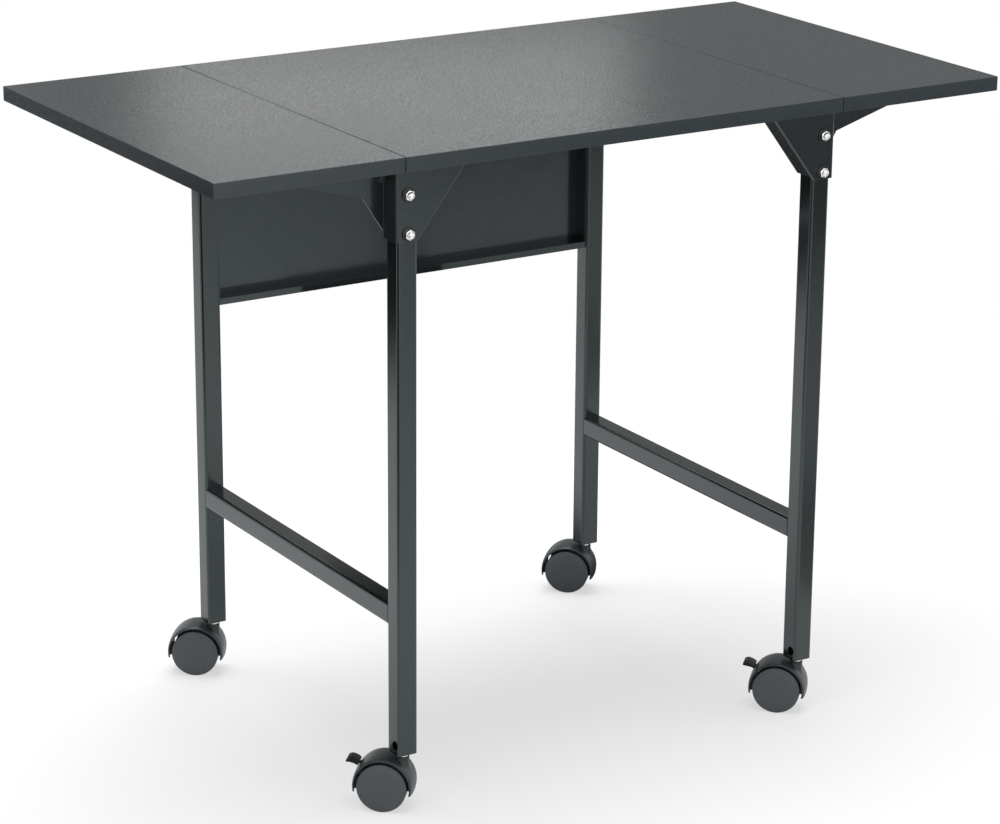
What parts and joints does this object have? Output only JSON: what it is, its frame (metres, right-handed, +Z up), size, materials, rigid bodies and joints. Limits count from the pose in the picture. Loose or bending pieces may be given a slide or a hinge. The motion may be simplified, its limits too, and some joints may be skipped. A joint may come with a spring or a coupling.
{
  "type": "typewriter table",
  "caption": "Typewriter table with a black laminate top, a drop leaf at each end on pivoting arms, square tube legs, a back panel, and twin-wheel casters with front brakes.",
  "frame": {"origin": "on the floor, in the middle of the overall box of the table at rest: the middle of the top lies 10 mm towards -Y of it, because the rear casters trail past the rear legs", "axes": "+X along the length of the top to the user's right, -Y towards the user, +Z up"},
  "size_m": [0.9144, 0.4895, 0.677],
  "materials": {
    "laminate_board": "particle board under black speckled laminate, semi-matte",
    "edge_band": "smooth black edge banding",
    "tube_enamel": "glossy black enamel on square steel tube",
    "panel_enamel": "glossy black enamel on sheet steel",
    "bracket_enamel": "glossy black enamel on pressed steel",
    "bright_zinc": "bright zinc plating",
    "black_screw": "black oxide",
    "socket_plastic": "moulded black nylon",
    "hood_plastic": "satin black moulding",
    "wheel_plastic": "satin black moulding",
    "lever_plastic": "satin black moulding",
    "caster_steel": "plated steel"
  },
  "bodies": {
    "table_frame": {"centre_top": "laminate_board", "centre_top_edge_band": "edge_band", "front_left_leg": "tube_enamel", "front_right_leg": "tube_enamel", "rear_left_leg": "tube_enamel", "rear_right_leg": "tube_enamel", "left_side_bar": "tube_enamel", "right_side_bar": "tube_enamel", "back_panel": "panel_enamel", "front_left_bracket": "bracket_enamel", "front_right_bracket": "bracket_enamel", "rear_left_bracket": "bracket_enamel", "rear_right_bracket": "bracket_enamel", "pivot_pins": "bright_zinc", "pivot_nuts": "bright_zinc", "leg_bolts": "bright_zinc", "leg_washers": "bright_zinc", "leg_nuts": "black_screw", "top_screws": "black_screw", "panel_screws": "black_screw", "caster_sockets": "socket_plastic"},
    "left_drop_leaf": {"left_leaf": "laminate_board", "left_leaf_edge_band": "edge_band", "front_left_leaf_arm": "bracket_enamel", "rear_left_leaf_arm": "bracket_enamel", "left_arm_screws": "black_screw"},
    "right_drop_leaf": {"right_leaf": "laminate_board", "right_leaf_edge_band": "edge_band", "front_right_leaf_arm": "bracket_enamel", "rear_right_leaf_arm": "bracket_enamel", "right_arm_screws": "black_screw"},
    "front_left_caster": {"front_left_hood": "hood_plastic", "front_left_stem": "caster_steel", "front_left_axle": "caster_steel", "front_left_brake_pin": "caster_steel"},
    "front_left_left_roller": {"front_left_left_wheel": "wheel_plastic"},
    "front_left_right_roller": {"front_left_right_wheel": "wheel_plastic"},
    "front_left_brake": {"front_left_brake_lever": "lever_plastic"},
    "front_right_caster": {"front_right_hood": "hood_plastic", "front_right_stem": "caster_steel", "front_right_axle": "caster_steel", "front_right_brake_pin": "caster_steel"},
    "front_right_left_roller": {"front_right_left_wheel": "wheel_plastic"},
    "front_right_right_roller": {"front_right_right_wheel": "wheel_plastic"},
    "front_right_brake": {"front_right_brake_lever": "lever_plastic"},
    "rear_left_caster": {"rear_left_hood": "hood_plastic", "rear_left_stem": "caster_steel", "rear_left_axle": "caster_steel"},
    "rear_left_left_roller": {"rear_left_left_wheel": "wheel_plastic"},
    "rear_left_right_roller": {"rear_left_right_wheel": "wheel_plastic"},
    "rear_right_caster": {"rear_right_hood": "hood_plastic", "rear_right_stem": "caster_steel", "rear_right_axle": "caster_steel"},
    "rear_right_left_roller": {"rear_right_left_wheel": "wheel_plastic"},
    "rear_right_right_roller": {"rear_right_right_wheel": "wheel_plastic"}
  },
  "joints": [
    {"name": "left_leaf_hinge", "type": "hinge", "parent": "table_frame", "child": "left_drop_leaf", "pos_m": [-0.263, -0.0084, 0.652], "axis": [0, -1, 0], "range_deg": [0, 90]},
    {"name": "right_leaf_hinge", "type": "hinge", "parent": "table_frame", "child": "right_drop_leaf", "pos_m": [0.263, -0.0084, 0.652], "axis": [0, 1, 0], "range_deg": [0, 90]},
    {"name": "front_left_swivel", "type": "hinge", "parent": "table_frame", "child": "front_left_caster", "pos_m": [-0.2444, -0.2161, 0.06], "axis": [0, 0, 1], "continuous": true},
    {"name": "front_left_left_roll", "type": "hinge", "parent": "front_left_caster", "child": "front_left_left_roller", "pos_m": [-0.25844, -0.2039, 0.0254], "axis": [-0.6561, -0.7547, 0], "continuous": true},
    {"name": "front_left_right_roll", "type": "hinge", "parent": "front_left_caster", "child": "front_left_right_roller", "pos_m": [-0.25844, -0.2039, 0.0254], "axis": [-0.6561, -0.7547, 0], "continuous": true},
    {"name": "front_left_brake_press", "type": "hinge", "parent": "front_left_caster", "child": "front_left_brake", "pos_m": [-0.27315, -0.1911, 0.0409], "axis": [-0.6561, -0.7547, 0], "range_deg": [0, 12]},
    {"name": "front_right_swivel", "type": "hinge", "parent": "table_frame", "child": "front_right_caster", "pos_m": [0.2444, -0.2161, 0.06], "axis": [0, 0, 1], "continuous": true},
    {"name": "front_right_left_roll", "type": "hinge", "parent": "front_right_caster", "child": "front_right_left_roller", "pos_m": [0.23113, -0.20306, 0.0254], "axis": [-0.7009, -0.7133, 0], "continuous": true},
    {"name": "front_right_right_roll", "type": "hinge", "parent": "front_right_caster", "child": "front_right_right_roller", "pos_m": [0.23113, -0.20306, 0.0254], "axis": [-0.7009, -0.7133, 0], "continuous": true},
    {"name": "front_right_brake_press", "type": "hinge", "parent": "front_right_caster", "child": "front_right_brake", "pos_m": [0.21723, -0.1894, 0.0409], "axis": [-0.7009, -0.7133, 0], "range_deg": [0, 12]},
    {"name": "rear_left_swivel", "type": "hinge", "parent": "table_frame", "child": "rear_left_caster", "pos_m": [-0.2444, 0.1993, 0.06], "axis": [0, 0, 1], "continuous": true},
    {"name": "rear_left_left_roll", "type": "hinge", "parent": "rear_left_caster", "child": "rear_left_left_roller", "pos_m": [-0.25945, 0.21023, 0.0254], "axis": [-0.5878, -0.809, 0], "continuous": true},
    {"name": "rear_left_right_roll", "type": "hinge", "parent": "rear_left_caster", "child": "rear_left_right_roller", "pos_m": [-0.25945, 0.21023, 0.0254], "axis": [-0.5878, -0.809, 0], "continuous": true},
    {"name": "rear_right_swivel", "type": "hinge", "parent": "table_frame", "child": "rear_right_caster", "pos_m": [0.2444, 0.1993, 0.06], "axis": [0, 0, 1], "continuous": true},
    {"name": "rear_right_left_roll", "type": "hinge", "parent": "rear_right_caster", "child": "rear_right_left_roller", "pos_m": [0.2308, 0.21199, 0.0254], "axis": [-0.682, -0.7314, 0], "continuous": true},
    {"name": "rear_right_right_roll", "type": "hinge", "parent": "rear_right_caster", "child": "rear_right_right_roller", "pos_m": [0.2308, 0.21199, 0.0254], "axis": [-0.682, -0.7314, 0], "continuous": true}
  ]
}
